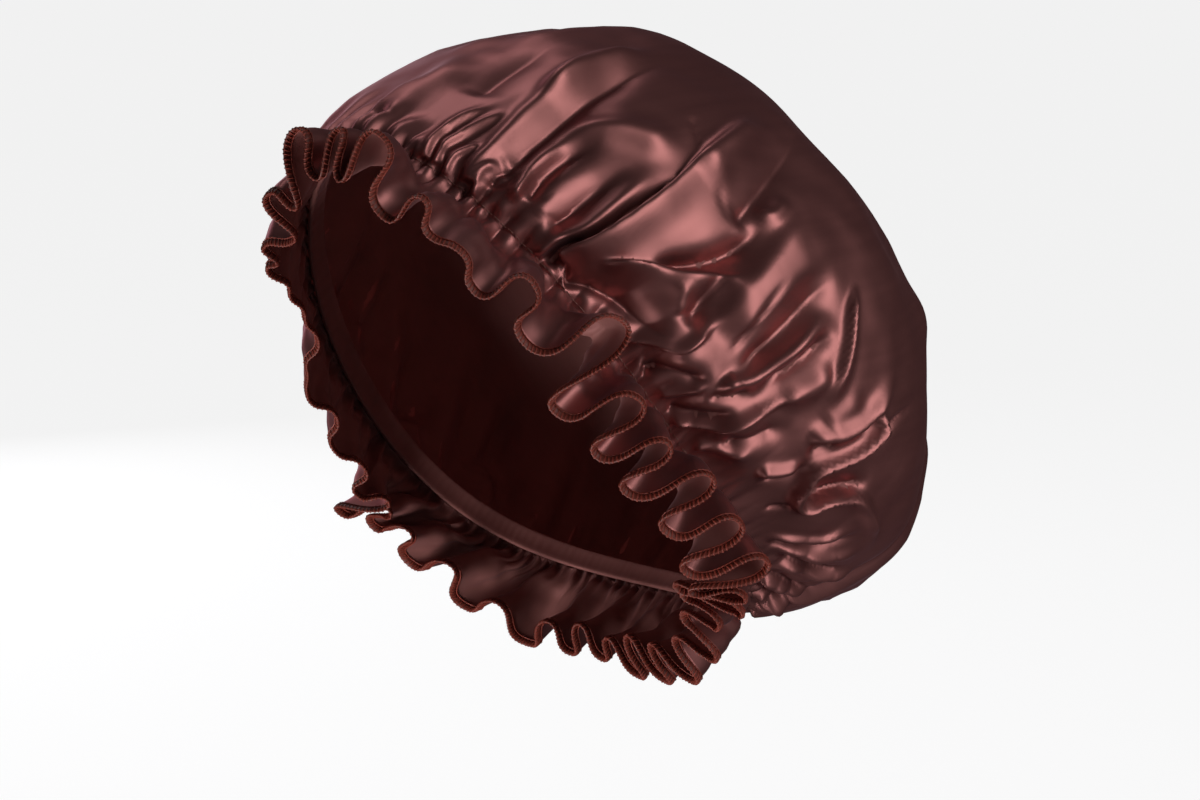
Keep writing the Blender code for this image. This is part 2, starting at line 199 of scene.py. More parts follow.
# The folds that show, from the top of the bag down its side. A ridge is round, and a hollow has a
# negative height and a sharp bottom. A shelf has a flat top, and a crease a sharp edge. A fold
# that runs back from the elastic leans down the side where its lean is above 0, else up.
FOLDS = [
    # kind, start width, end width, height, lean, then angle and way along at each place
    # Short gathers and a slack hollow on the top.
    ("ridge", 7.0, 9.0, 2.4, 0.0, (-3, .15), (-2, .30), (0, .45)),
    ("ridge", 1.3, 2.4, 2.2, 0.3, (14, .02), (12.5, .10), (11.5, .18), (12.5, .25), (15, .31)),
    ("ridge", 1.3, 2.0, 2.0, 0.3, (16.5, .02), (14.5, .12), (14.5, .20), (16, .26), (18, .30)),
    ("ridge", 1.3, 1.8, 2.0, 0.3, (19, .01), (18, .08), (18, .15), (19, .20)),
    ("ridge", 6.0, 9.0, -3.2, 0.0, (9, .30), (9, .42), (10, .56)),
    # The long fold over the top, in two stretches, with the hollow below it.
    ("ridge", 2.5, 4.6, 3.6, 0.0,
     (23.5, .03), (21.6, .12), (20.3, .25), (19.9, .36), (19.9, .47), (20.3, .56)),
    ("ridge", 4.8, 4.4, 3.8, 0.0, (20.2, .36), (20.1, .44), (20.4, .52), (20.9, .59), (21.6, .67)),
    ("ridge", 2.0, 6.0, -3.8, 0.0,
     (26.8, .11), (25.2, .21), (24.6, .33), (25, .45), (26, .57), (27.6, .68)),
    # Looped gathers near the rim, and the fold that runs off them towards the side.
    ("ridge", 1.4, 1.6, 1.8, 0.2, (25.5, .01), (24.3, .06), (23.8, .11), (24.5, .16)),
    ("ridge", 2.0, 2.6, -3.2, 0.0, (27, .05), (25.8, .12), (25.8, .18)),
    ("ridge", 1.5, 3.5, 3.4, 0.2, (31.5, .06), (30, .11), (28, .19), (27.7, .26), (29, .34)),
    ("ridge", 1.8, 3.2, -3.2, 0.0, (33, .10), (31.3, .15), (30, .22), (30.3, .29), (32.5, .35)),
    ("ridge", 3.0, 4.5, 0.9, 0.0, (36, .08), (34, .14), (32.8, .21), (33.5, .28)),
    ("ridge", 3.5, 6.5, 3.0, 0.0,
     (27.5, .28), (28.6, .345), (31.5, .385), (35.5, .415), (39.5, .44), (42.5, .48)),
    ("ridge", 3.0, 4.5, -4.4, 0.0, (38.5, .06), (37.5, .15), (37, .24), (37.8, .34)),
    ("ridge", 1.6, 4.0, 3.4, 0.2, (39.5, .01), (40, .08), (40.3, .18), (40.5, .28), (42, .40)),
    # The long dark crease, and the broad plain wedge of cloth below it.
    ("crease", 2.2, 1.2, -3.4, 0.0,
     (41.5, .01), (42.3, .10), (42.7, .20), (43.8, .31), (45.2, .41), (44.5, .49)),
    ("ridge", 2.5, 2.0, -3.5, 0.0, (42, .02), (42.3, .07), (42.5, .14)),
    ("ridge", 2.4, 9.5, 6.0, -2.2,
     (43, .04), (43.6, .12), (44.3, .22), (45.3, .32), (46.2, .41), (47.2, .52), (48.2, .66)),
    ("ridge", 5.5, 4.6, 3.4, 0.0, (48, .40), (48.3, .48), (48.7, .56), (49.4, .66)),
    ("ridge", 2.2, 7.0, -8.0, 0.0, (50.3, .20), (53.8, .25), (56.8, .31), (58.8, .38), (60, .47)),
    ("ridge", 4.0, 7.5, -4.4, 0.0, (55.5, .385), (56, .43), (56.5, .50), (57.5, .61), (58.5, .74)),
    ("ridge", 3.0, 3.0, 2.0, 0.0, (57.5, .44), (60, .475), (60.5, .53)),
    ("crease", 1.5, 1.5, -1.3, 0.0, (39, .535), (41.5, .51), (43.5, .49), (45, .475)),
    ("crease", 1.3, 1.3, -0.8, 0.0, (50, .43), (53, .40), (57, .385)),
    # The fold that bends down out of the rim there, and the pocket under it.
    ("ridge", 2.2, 5.5, 4.4, -1.5,
     (46, .115), (48.8, .165), (52, .205), (56, .243), (60, .29), (62.6, .34)),
    ("ridge", 3.5, 6.0, -5.6, 0.6, (45, .02), (48, .055), (52, .08), (56.5, .095), (61.5, .12)),
    ("ridge", 3.0, 4.0, -4.6, 0.0, (61.5, .17), (60, .22), (59.5, .27), (60, .31)),
    ("ridge", 3.0, 3.0, 2.2, 0.0, (56, .225), (57.5, .20), (59.5, .18)),
    ("ridge", 1.1, 2.4, 3.0, 0.5,
     (57.5, .04), (60, .085), (62.5, .125), (63, .17), (62.8, .21), (63.5, .27)),
    ("ridge", 8.0, 8.0, 4.6, 0.0, (58, .11), (66, .125), (74, .125), (83, .12), (92, .10)),
    # The folds that fan out over the middle of the side.
    ("shelf", 5.0, 10.0, 3.0, 0.0,
     (66, .20), (64.8, .27), (64.8, .34), (65.8, .41), (67.3, .48), (69, .57)),
    ("crease", 1.3, 1.5, -2.2, 0.0, (68, .20), (67.2, .26), (66.5, .32), (66.6, .39)),
    ("ridge", 2.6, 4.0, 4.6, -0.3,
     (69.5, .16), (71.3, .17), (73.3, .21), (74.3, .28), (75.2, .35), (77, .415)),
    ("ridge", 2.0, 6.0, -4.4, 0.0, (71, .19), (71.2, .26), (71.5, .33), (73, .41), (75, .48)),
    ("ridge", 1.8, 3.2, -4.4, 0.0, (75, .20), (76.3, .27), (77.2, .33), (78.8, .385)),
    ("ridge", 1.6, 3.5, 3.8, 0.3,
     (79, .50), (79.8, .45), (81, .41), (83, .36), (84.5, .31), (86.5, .26)),
    ("ridge", 3.5, 4.5, 2.6, 0.0, (79.5, .22), (81, .28), (82, .34)),
    ("ridge", 1.4, 2.0, 2.2, 0.2, (67, .03), (68.5, .06), (69.3, .10), (68.8, .14)),
    ("ridge", 2.2, 3.0, -3.6, 0.0, (62.5, .03), (65, .075), (67.5, .11), (70, .135)),
    ("ridge", 1.6, 2.0, -2.8, 0.0, (71, .11), (73, .15), (74.5, .195)),
    ("ridge", 1.2, 2.4, 4.0, 0.3,
     (71.5, .02), (74, .055), (76, .095), (76.8, .14), (77.8, .185), (79.3, .235), (81, .275)),
    ("ridge", 1.2, 1.8, -2.6, 0.0, (70, .03), (72.5, .06), (74.5, .10), (75.5, .15)),
    ("ridge", 2.5, 3.5, -3.4, 0.0, (79, .07), (80.5, .12), (82, .17), (84.5, .225)),
    ("ridge", 1.6, 2.2, 2.2, 0.0, (77.5, .03), (79.5, .06), (82, .09), (83.5, .13)),
    ("ridge", 2.6, 3.0, 4.0, 0.3,
     (87.3, .225), (88.3, .242), (90.8, .276), (92.5, .318), (93.5, .356), (94.3, .40), (96, .45)),
    ("ridge", 4.0, 5.0, 1.8, 0.0, (88, .26), (88.5, .30), (90, .36)),
    ("crease", 1.6, 1.5, -2.8, 0.0, (97.5, .30), (99, .345), (101, .40), (106, .46)),
    # The fold that doubles back on itself low on the side, and the hollows within it.
    ("ridge", 1.5, 2.3, 5.4, 0.0,
     (94.5, .37), (97, .355), (97.3, .335), (96, .28), (94.3, .236), (93.4, .21), (94.1, .185),
     (95.5, .16), (97.2, .152), (98.8, .163), (100.3, .205), (103.4, .243), (107, .257),
     (112, .262), (117.5, .263), (123, .247)),
    ("ridge", 1.4, 4.5, -4.8, 0.9, (96.4, .172), (98, .19), (99.6, .225), (102.3, .258), (105, .29)),
    ("ridge", 1.8, 1.6, -3.2, 0.0, (95, .36), (94.6, .335), (94, .305)),
    ("ridge", 1.4, 1.4, -2.4, 0.0, (89.8, .215), (91, .24), (91.8, .262)),
    ("ridge", 2.2, 2.2, 3.0, 0.0, (86.5, .11), (88.5, .135), (90.3, .168), (91.3, .20)),
    ("crease", 1.4, 1.4, -2.6, 0.0, (89.5, .09), (91.2, .145), (92, .18), (92.6, .22)),
    ("crease", 1.2, 1.2, -2.0, 0.0, (95.5, .08), (97, .12), (98.5, .155)),
    # Close pleats that sweep back from the rim low down.
    ("ridge", 1.2, 1.8, 2.4, 0.0, (101.5, .06), (105.5, .115), (109, .16), (111, .20), (114.5, .235)),
    ("ridge", 1.4, 2.2, -3.2, 0.0, (102.5, .05), (106.5, .095), (111, .155), (114, .21), (116.5, .245)),
    ("ridge", 1.4, 2.0, 2.4, 0.0, (105, .06), (109.5, .11), (114.5, .155), (118, .20), (121, .235)),
    ("ridge", 1.2, 1.6, -2.8, 0.0, (107.5, .06), (112, .10), (117, .135), (121, .175), (123, .21)),
    ("ridge", 1.4, 2.0, 2.4, 0.0, (110, .05), (115.5, .105), (120.5, .14), (125, .19), (128, .235)),
    ("ridge", 1.4, 1.6, -3.0, 0.0, (113, .04), (118.5, .07), (123.5, .10), (127, .14)),
    ("ridge", 1.4, 1.8, 2.4, 0.0, (117, .03), (122, .07), (127, .105), (131, .15)),
    ("ridge", 1.3, 1.6, -2.6, 0.0, (117.5, .02), (125, .05), (131, .08), (136, .12)),
    ("ridge", 1.3, 1.8, 2.2, 0.0, (124, .02), (131, .055), (137, .09)),
]


def gathered_folds():
    """Folds made by rule: six small ones on the top, and the far side, the back and the nape."""
    rng = random.Random(5)
    folds = []
    for k in range(6):
        angle = -21 + 5.2 * k + rng.uniform(-0.7, 0.7)
        end = rng.uniform(0.22, 0.36)
        route = (angle, .01), (angle - 0.4, 0.5 * end), (angle + 1, end)
        folds.append(("ridge", 2.2, 4.0, rng.uniform(1.5, 2.2), 0.1, *route))
    # Folds out of the gathers, some with a looped one beside them.
    angle = 128.0
    while angle < 335.0:
        start, end, bend = rng.uniform(0.01, 0.05), rng.uniform(0.24, 0.62), rng.uniform(-7, 7)
        width, height = rng.uniform(2.2, 3.6), rng.uniform(2.2, 4.2)
        kind = "crease" if rng.random() < 0.2 else "ridge"
        if kind == "crease" or rng.random() < 0.35:
            height = -height
        route = (
            (angle, start), (angle + 0.2 * bend + rng.uniform(-2, 2), start + 0.4 * (end - start)),
            (angle + 0.6 * bend, start + 0.75 * (end - start)), (angle + bend, end),
        )
        end_width = width * rng.uniform(1.6, 2.8)
        folds.append((kind, width, end_width, height, rng.uniform(-0.3, 0.4), *route))
        if rng.random() < 0.35:
            turn, side = rng.uniform(0.14, 0.22), rng.choice((-1, 1))
            route = (
                (angle + 2 * side, turn + 0.22), (angle + 1.5 * side, turn + 0.08),
                (angle + 4 * side, turn), (angle + 7 * side, turn + 0.06),
                (angle + 9 * side, turn + 0.2),
            )
            folds.append(("ridge", 3.0, 4.4, rng.uniform(3.0, 4.2), 0.3, *route))
        angle += rng.uniform(3.6, 7.0)
    # Broad soft folds over the back, which don't reach the gathers.
    angle = 112.0
    while angle < 370.0:
        start, end = rng.uniform(0.42, 0.52), rng.uniform(0.68, 0.92)
        bend = rng.uniform(-16, 16)
        height = rng.uniform(1.8, 3.4) * rng.choice((-1, 1))
        widths = rng.uniform(6, 9), rng.uniform(9, 13)
        route = (angle, start), (angle + 0.3 * bend, 0.5 * (start + end)), (angle + bend, end)
        folds.append(("ridge", *widths, height, rng.uniform(-0.1, 0.2), *route))
        angle += rng.uniform(9, 16)
    return folds


def fold_line(places):
    """Close places along one fold, on the smooth bag."""
    rows = [(k, *place) for k, place in enumerate(places)]
    fine = np.linspace(0, len(places) - 1, 7 * (len(places) - 1) + 1)
    marks = table_at(rows, fine)
    return smooth_bag(marks[:, 0], np.clip(marks[:, 1], 0.0, 0.99))


def press_fold(shift, ground, outwards, fold):
    """Adds one fold to the shift of every place of the bag near it."""
    kind, start_width, end_width, height, lean, *places = fold
    line = fold_line(places)
    reach = 3.2 * max(start_width, end_width)
    near = np.all((ground > line.min(0) - reach) & (ground < line.max(0) + reach), axis=-1)
    spots, ways = ground[near], outwards[near]
    across = np.cross(line[-1] - line[0], ways)
    # The nearest stretch of the fold's line to each spot: how far, how far along, on which side.
    nearest = np.full(len(spots), 1e9)
    part, side = np.zeros(len(spots)), np.zeros(len(spots))
    stretches = len(line) - 1
    for k in range(stretches):
        step = line[k + 1] - line[k]
        off = spots - line[k]
        h = np.clip(off @ step / (step @ step), 0, 1)
        off = off - h[:, None] * step
        far = np.einsum("ij,ij->i", off, off)
        closer = far < nearest
        nearest[closer] = far[closer]
        part[closer] = (k + h[closer]) / stretches
        side[closer] = np.einsum("ij,ij->i", off[closer], across[closer])
    x = np.sqrt(nearest) / (start_width + (end_width - start_width) * part)
    if kind == "crease":
        shape = np.exp(-1.3 * x)
    else:
        power = 4.0 if kind == "shelf" else 2.0 if height > 0 else 1.2
        steep = 1 + 0.9 * abs(lean) * (np.sign(side) == np.sign(lean))
        shape = np.exp(-((x * steep) ** power))
    # A fold out of the gathers starts at full height. Others rise and sink over a share of it.
    starts_in_gathers = places[0][1] < 0.045
    opening = 0.03 if starts_in_gathers else min(0.22, 1.5 / (len(places) - 1))
    closing = min(0.34, 2.2 / (len(places) - 1))
    amount = height * (shape * ease(part / opening) * ease((1 - part) / closing))
    move = ways * amount[:, None]
    if lean:
        move = move + unit(across) * (min(1.0, max(-1.0, lean)) * 0.5 * np.abs(amount))[:, None]
    shift[near] += move


def gathered_bag(degrees, along):
    """Places on the bag with its gathers and folds."""
    degrees, along = np.meshgrid(degrees, along)
    ground, outwards = smooth_bag(degrees, along), bag_outwards(degrees, along)
    shift = np.zeros_like(ground)
    for fold in gathered_folds():
        press_fold(shift, ground, outwards, fold)
    taut = fold_line(TAUT_LINE)[::2]
    taut_gap = np.min([np.linalg.norm(ground - p, axis=-1) for p in taut], axis=0)
    calm = 1 - 0.75 * fade(taut_gap / TAUT_HALF_WIDTH)
    shift *= calm[..., None]
    for fold in FOLDS:
        press_fold(shift, ground, outwards, fold)
    heights = []
    for count, height, below, start, reach in GATHERS:
        begun = ease(along / start) if start else 1.0
        heights.append(height * (tucks(degrees, count, 1) - below) * begun * fade(along / reach))
    fine, middle, broad = heights
    near_rim = ease(along / 0.035)
    drawn = 1 - 0.6 * fade((degrees - DRAWN_FLAT[0]) / DRAWN_FLAT[1])
    height = ((middle + broad * calm) * near_rim + fine) * drawn
    height = height + 1.6 * dented(ground, DENTS) * ease(along / 0.12) * calm
    for angle, way, half_width, swell in SWELLS:
        away = np.linalg.norm(ground - smooth_bag(angle, way), axis=-1)
        height = height + swell * fade(away / half_width)
    bag = ground + shift * near_rim[..., None] + outwards * height[..., None]
    # On the elastic only the finest tucks are left.
    rim_place, _, rim_out, _ = elastic_frame(degrees[0])
    rim = rim_place + rim_out * rim_tucks(degrees[0])[:, None]
    blend = ease(along / 0.02)[..., None]
    return (rim + ground - ground[0]) * (1 - blend) + bag * blend


def loop_normals(grid):
    """The way out at each place of a grid that closes round its columns."""
    round_way = np.roll(grid, -1, 1) - np.roll(grid, 1, 1)
    on_way = np.empty_like(grid)
    on_way[1:-1] = grid[2:] - grid[:-2]
    on_way[0], on_way[-1] = grid[1] - grid[0], grid[-1] - grid[-2]
    return unit(np.cross(round_way, on_way))


def loop_quads(rows, columns, start=0, turned=False):
    """Quads of such a grid, glossy side out unless turned."""
    j, i = np.meshgrid(np.arange(rows - 1), np.arange(columns), indexing="ij")
    k = (i + 1) % columns
    quads = np.stack([j * columns + i, j * columns + k, (j + 1) * columns + k, (j + 1) * columns + i], -1)
    quads = quads.reshape(-1, 4) + start
    return (quads[:, ::-1] if turned else quads).tolist()


def row_quads(first, second, columns):
    """Quads between two closed rows, given where the places of each start."""
    i = np.arange(columns)
    k = (i + 1) % columns
    return np.stack([first + i, first + k, second + k, second + i], -1).tolist()


def knit_rows(fine, coarse, turned=False):
    """Triangles between two closed rows, the first with a whole number of times as many places."""
    times = len(fine) // len(coarse)
    faces = []
    for i, here in enumerate(coarse):
        there = coarse[(i + 1) % len(coarse)]
        row = [fine[(times * i + k) % len(fine)] for k in range(times + 1)]
        faces += [(row[k], row[k + 1], here if k < times / 2 else there) for k in range(times)]
        if there != here:
            faces.append((row[(times + 1) // 2], there, here))
    return [face[::-1] for face in faces] if turned else faces


def cloth_piece(name, places, faces, finishes, face_finish=None, cut=None):
    """A piece from its places, with a finish for each face and its lie on the cut cloth."""
    mesh = bpy.data.meshes.new(name)
    mesh.from_pydata((np.asarray(places) * 0.001).tolist(), [], faces)
    for finish in finishes:
        mesh.materials.append(finish)
    if face_finish is not None:
        mesh.polygons.foreach_set("material_index", np.asarray(face_finish, np.int32))
    if cut is not None:
        corners = np.empty(len(mesh.loops), np.int32)
        mesh.loops.foreach_get("vertex_index", corners)
        layer = mesh.uv_layers.new(name="cut")
        layer.data.foreach_set("uv", np.asarray(cut, np.float32)[corners].ravel())
    mesh.shade_smooth()
    mesh.update()
    item = bpy.data.objects.new(name, mesh)
    bpy.context.scene.collection.objects.link(item)
    return item


class Wire:
    """A shader value that can be added, scaled and mixed; other nodes come from node()."""

    def __init__(self, tree, socket=None):
        self.tree, self.socket = tree, socket

    def node(self, kind, settings, sockets, output=0):
        """A new node with these settings and socket values, and a wire from one of its outputs."""
        item = self.tree.nodes.new(kind)
        for name, value in settings.items():
            setattr(item, name, value)
        for name, value in sockets.items():
            if isinstance(value, Wire):
                self.tree.links.new(value.socket, item.inputs[name])
            else:
                item.inputs[name].default_value = value
        return Wire(self.tree, item.outputs[output])

    def maths(self, operation, *values):
        return self.node("ShaderNodeMath", {"operation": operation}, dict(enumerate(values)))

    def __add__(self, other):
        return self.maths("ADD", self, other)

    def __mul__(self, other):
        return self.maths("MULTIPLY", self, other)

    __radd__, __rmul__ = __add__, __mul__

    def tint(self, first, second):
        """One colour to another as this value goes from 0 to 1."""
        return self.node("ShaderNodeMix", {"data_type": "RGBA"}, {0: self, 6: first, 7: second}, 2)


def start_finish(name):
    """A new material: a wire to build on, and its shader."""
    finish = bpy.data.materials.new(name)
    finish.use_nodes = True
    return finish, Wire(finish.node_tree), finish.node_tree.nodes["Principled BSDF"]


def join_up(shader, sockets):
    """Sets the shader's sockets to values or wires."""
    for name, value in sockets.items():
        if isinstance(value, Wire):
            value.tree.links.new(value.socket, shader.inputs[name])
        else:
            shader.inputs[name].default_value = value


def satin(name, deep, warm, gloss, metal, edge):
    """Satin: long floats of bright thread, so its sheen is broad, tinted and a little streaky."""
    finish, start, shader = start_finish(name)
    cut = start.node("ShaderNodeUVMap", {"uv_map": "cut"}, {})
    solid = start.node("ShaderNodeTexCoord", {}, {}, 3)

    def clouds(place, scale, detail, distortion=0.0):
        sockets = {"Vector": place, "Scale": scale, "Detail": detail, "Distortion": distortion}
        return start.node("ShaderNodeTexNoise", {}, sockets)

    def streaks(across, along, detail):
        lie = start.node("ShaderNodeMapping", {}, {"Vector": cut, "Scale": (across, along, 1.0)})
        return clouds(lie, 1.0, detail)

    def relief(height, strength, depth, under=None):
        sockets = {"Strength": strength, "Distance": depth, "Height": height}
        if under:
            sockets["Normal"] = under
        return start.node("ShaderNodeBump", {}, sockets)

    # Streaks to a metre of cloth, across the thread and along it.
    floats = streaks(2600.0, 170.0, 2.0)
    slubs = streaks(420.0, 16.0, 3.0)
    crumple = clouds(solid, 75.0, 4.0, 0.6)
    wear = clouds(solid, 22.0, 2.0)
    weave = relief(floats, 0.10, 0.00006)
    join_up(shader, {
        "Base Color": (wear * 0.5 + slubs * 0.5).tint(deep, warm),
        "Roughness": slubs * 0.08 + (gloss - 0.04),
        "Metallic": metal,
        "Specular Tint": edge,
        "Sheen Weight": 0.05,
        "Sheen Roughness": 0.4,
        "Sheen Tint": (0.55, 0.45, 0.60, 1),
        "Normal": relief(crumple, 0.20, 0.0006, weave),
    })
    return finish


glossy_satin = satin(
    "brown_satin", deep=(0.27, 0.108, 0.103, 1), warm=(0.35, 0.143, 0.134, 1),
    gloss=0.45, metal=0.90, edge=(0.45, 0.32, 0.36, 1),
)
satin_reverse = satin(
    "brown_satin_reverse", deep=(0.20, 0.078, 0.070, 1), warm=(0.27, 0.106, 0.096, 1),
    gloss=0.55, metal=0.15, edge=(0.35, 0.25, 0.27, 1),
)

# Its columns lie closer over the side that shows. There are twice as many round the gathers as
# over the back, and half as many, on every other row, on the inner side.
shown_from, shown_to = -32, 130
bag_columns, shown_columns, gather_rows = 480, 300, 31
shown = np.arange(0, shown_columns, 0.5) / shown_columns
hidden = np.arange(0, bag_columns - shown_columns, 0.5) / (bag_columns - shown_columns)
gather_angles = np.concatenate([
    shown_from + (shown_to - shown_from) * shown,
    shown_to + (360 + shown_from - shown_to) * hidden,
])
bag_alongs = 0.985 * (np.arange(117) / 116) ** 1.25
gathers = gathered_bag(gather_angles, bag_alongs[:gather_rows])
back = gathered_bag(gather_angles[::2], bag_alongs[gather_rows - 2:])
inner = np.concatenate([gathers[:-2:2, ::4], back[1::2, ::2]])
inner = inner - BAG_WALL * loop_normals(inner)
back = back[2:]
centre, centre_out = smooth_bag(0.0, 1.0), bag_outwards(0.0, 0.965)
middle = centre + centre_out * (((back[-1] - centre) @ centre_out).mean() + 0.2)
layers = [gathers, back, inner, middle, middle - BAG_WALL * centre_out]
layers = [layer.reshape(-1, 3) for layer in layers]
starts = np.cumsum([len(layer) for layer in layers]).tolist()
back_start, inner_start, middle_at, inner_middle_at, _ = starts
inner_columns = bag_columns // 2
last_gathers = range(back_start - 2 * bag_columns, back_start)
faces = loop_quads(gather_rows, 2 * bag_columns)
faces += knit_rows(last_gathers, range(back_start, back_start + bag_columns))
faces += loop_quads(len(back), bag_columns, back_start)
faces += knit_rows(range(inner_start - bag_columns, inner_start), [middle_at])
outer_faces = len(faces)
faces += loop_quads(len(inner), inner_columns, inner_start, True)
faces += knit_rows(range(middle_at - inner_columns, middle_at), [inner_middle_at], True)
faces += knit_rows(range(2 * bag_columns), range(inner_start, inner_start + inner_columns), True)
sides = [0] * outer_faces + [1] * (len(faces) - outer_faces)
lie = []
for angles, ways in (
    (gather_angles, bag_alongs[:gather_rows]),
    (gather_angles[::2], bag_alongs[gather_rows:]),
    (gather_angles[::4], np.concatenate([bag_alongs[:gather_rows - 2:2], bag_alongs[gather_rows - 1::2]])),
):
    angles, ways = np.meshgrid(angles, ways)
    across_thread = angles / 360 * ELASTIC_LENGTH * (1 - 0.7 * ways)
    lie.append(np.stack([across_thread, ways * DISC_RADIUS], -1).reshape(-1, 2))
cut = np.concatenate(lie + [[[0.5 * DISC_RADIUS, DISC_RADIUS]] * 2])
satin_bag = cloth_piece(
    "satin_bag", np.concatenate(layers), faces, [glossy_satin, satin_reverse], sides, cut
)
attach(satin_bag, "root")
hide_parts("crown")

# The elastic, sewn into a narrow casing of the same cloth just inside the gathers. It is ribbed
# and puckered, because it was stretched flat when it was sewn and has drawn in since.
casing_columns, casing_sides, casing_half_width = 620, 18, 3.9
casing_inside, casing_back = 3.2, 4.0
channel_from_middle, channel_width, channel_depth = 1.9, 0.5, 0.32
casing_angles = np.arange(casing_columns) * 360 / casing_columns
place, _, out, ahead = elastic_frame(casing_angles)
casing_middle = place - out * casing_inside - ahead * casing_back
casing_puckers = tucks(casing_angles, 168, 3)
casing_rows = []
for k in range(casing_sides):
    turn = 2 * math.pi * k / casing_sides
    flat, thick = math.cos(turn), math.sin(turn)
    across = math.copysign(abs(flat) ** 0.35, flat) * casing_half_width
    depth = math.copysign(abs(thick) ** 0.6, thick)
    # A line of stitches draws it in on each side of the elastic.
    channel = 1 - channel_depth * fade((abs(across) - channel_from_middle) / channel_width)
    pucker = 0.75 + 0.35 * casing_puckers * channel
    casing_rows.append(casing_middle + ahead * across + out * (depth * pucker * channel)[:, None])
faces = loop_quads(casing_sides, casing_columns)
faces += row_quads((casing_sides - 1) * casing_columns, 0, casing_columns)
lie = np.stack(np.broadcast_arrays(
    casing_angles[None] / 360 * ELASTIC_LENGTH, np.arange(casing_sides)[:, None] * 0.001
), -1)
casing = cloth_piece(
    "elastic_casing_cloth", np.concatenate(casing_rows), faces, [satin_reverse], None, lie.reshape(-1, 2)
)
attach(casing, "root")
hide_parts("elastic_casing")

# The frill: the same satin past the elastic, 28 mm deep and far longer than the elastic, so that
# it stands in folded-over waves. Its root carries on the tucks of the gathers.
FRILL_DEPTH, FRILL_HALF_WALL = 28.0, 0.28
FRILL_COLUMN = 0.30  # degrees
FULL_LEAN = 10.0  # how far out it stands at its full lean
FRILL_TURNS = [
    # angle, lean: from 0 degrees, straight on out of the opening, to 90, square to the elastic
    (-57, -33), (-51, -43), (-44, -36), (-36, -26), (-31, -10), (-28.5, -15), (-25.5, -3),
    (-17, -14), (-8.5, 20), (-4, 8), (0.3, 56), (5.2, 30), (7.4, 62), (9.9, 34), (12.2, 68),
    (20, 27), (23, 50), (27, 35), (31.5, 40), (37, 27), (40.5, 56), (46.3, 28), (52.5, 80),
    (56, 12), (61, 60), (64.3, 17), (67.6, 58), (70.6, 19), (75, 68), (78, 27), (83.5, 68),
    (86.8, 24), (92, 70), (96, 18), (101.5, 44), (106, -4), (111.5, 30), (116, -14),
]
FRILL_SWEEP = [
    # angle to either side of the top, degrees that the frill is swept forwards along the elastic
    (0, 0), (60, 0), (82, 0), (92, 8), (100, 28), (110, 46), (122, 50), (136, 38), (154, 12), (180, 0),
]
FRILL_BUCKLES = [(1.5, 12.0, (0, 0, 0)), (0.6, 5.0, (0, 0, 0))]


def frill_turns():
    """The turns that show, and then a rule round the back and the far side, where it lies in."""
    rng = random.Random(11)
    turns = list(FRILL_TURNS)
    first = FRILL_TURNS[-1][0]
    span = 360.0 + FRILL_TURNS[0][0] - first
    count = 2 * int(span / 6.2 / 2) - 1
    for i in range(1, count + 1):
        angle = first + span * i / (count + 1) + rng.uniform(-0.6, 0.6)
        high = i % 2 == 1
        if abs((angle + 180) % 360 - 180) > 100:
            lean = rng.uniform(0, 12) if high else rng.uniform(-26, -16)
        else:
            lean = rng.uniform(-33, -26) if high else rng.uniform(-43, -38)
        turns.append((angle, lean))
    return turns


frill_angle, frill_lean, frill_slide = [], [], []
turns = frill_turns()
for (angle, lean), (next_angle, next_lean) in zip(turns, turns[1:] + [(turns[0][0] + 360, turns[0][1])]):
    parts = max(10, round((next_angle - angle) / FRILL_COLUMN))
    u = np.arange(parts) / parts
    # A deep wave folds over: its flanks slide under its crests.
    swing = min(abs(next_lean - lean) / 34, 1.0)
    frill_angle.append(angle + (next_angle - angle) * u)
    frill_lean.append(lean + (next_lean - lean) * (0.5 - 0.5 * np.cos(math.pi * u)))
    frill_slide.append(0.20 * swing * (next_angle - angle) * np.sin(2 * math.pi * u))
frill_angle, frill_lean, frill_slide = (np.concatenate(x) for x in (frill_angle, frill_lean, frill_slide))
reaches = FRILL_DEPTH * np.linspace(0, 1, 17) ** 1.15
reach, base_angle = np.meshgrid(reaches, frill_angle, indexing="ij")
share = reach / FRILL_DEPTH
frill_degrees = base_angle + frill_slide[None] * share ** 1.3
place, round_way, out, ahead = elastic_frame(frill_degrees)
side = (base_angle + 180) % 360 - 180
grown = np.minimum(reach / FULL_LEAN, 1.0)
sweep = np.radians(table_at(FRILL_SWEEP, np.abs(side))[..., 0]) * grown
ahead = ahead * np.cos(sweep)[..., None] - round_way * (np.sign(side) * np.sin(sweep))[..., None]
flare = frill_lean[None] + 6.0 * np.sin(math.pi * share)
flare = np.radians(flare * (0.25 + 0.75 * grown))
way = unit(ahead * np.cos(flare)[..., None] + out * np.sin(flare)[..., None])
frill = place - out * 0.6 + way * reach[..., None]
frill_out = -loop_normals(frill)
root = (rim_tucks(frill_degrees) + 0.6) * fade(reach / 8.0)
pleats = 3.3 * (tucks(frill_degrees, 56, 1) - 0.6) * ease(reach / 4.0) * fade(reach / 16.0)
flutter = 1.3 * dented(frill, FRILL_BUCKLES) * np.sin(math.pi * np.minimum(share * 1.1, 1.0))
frill = frill + frill_out * (root + pleats + flutter)[..., None]
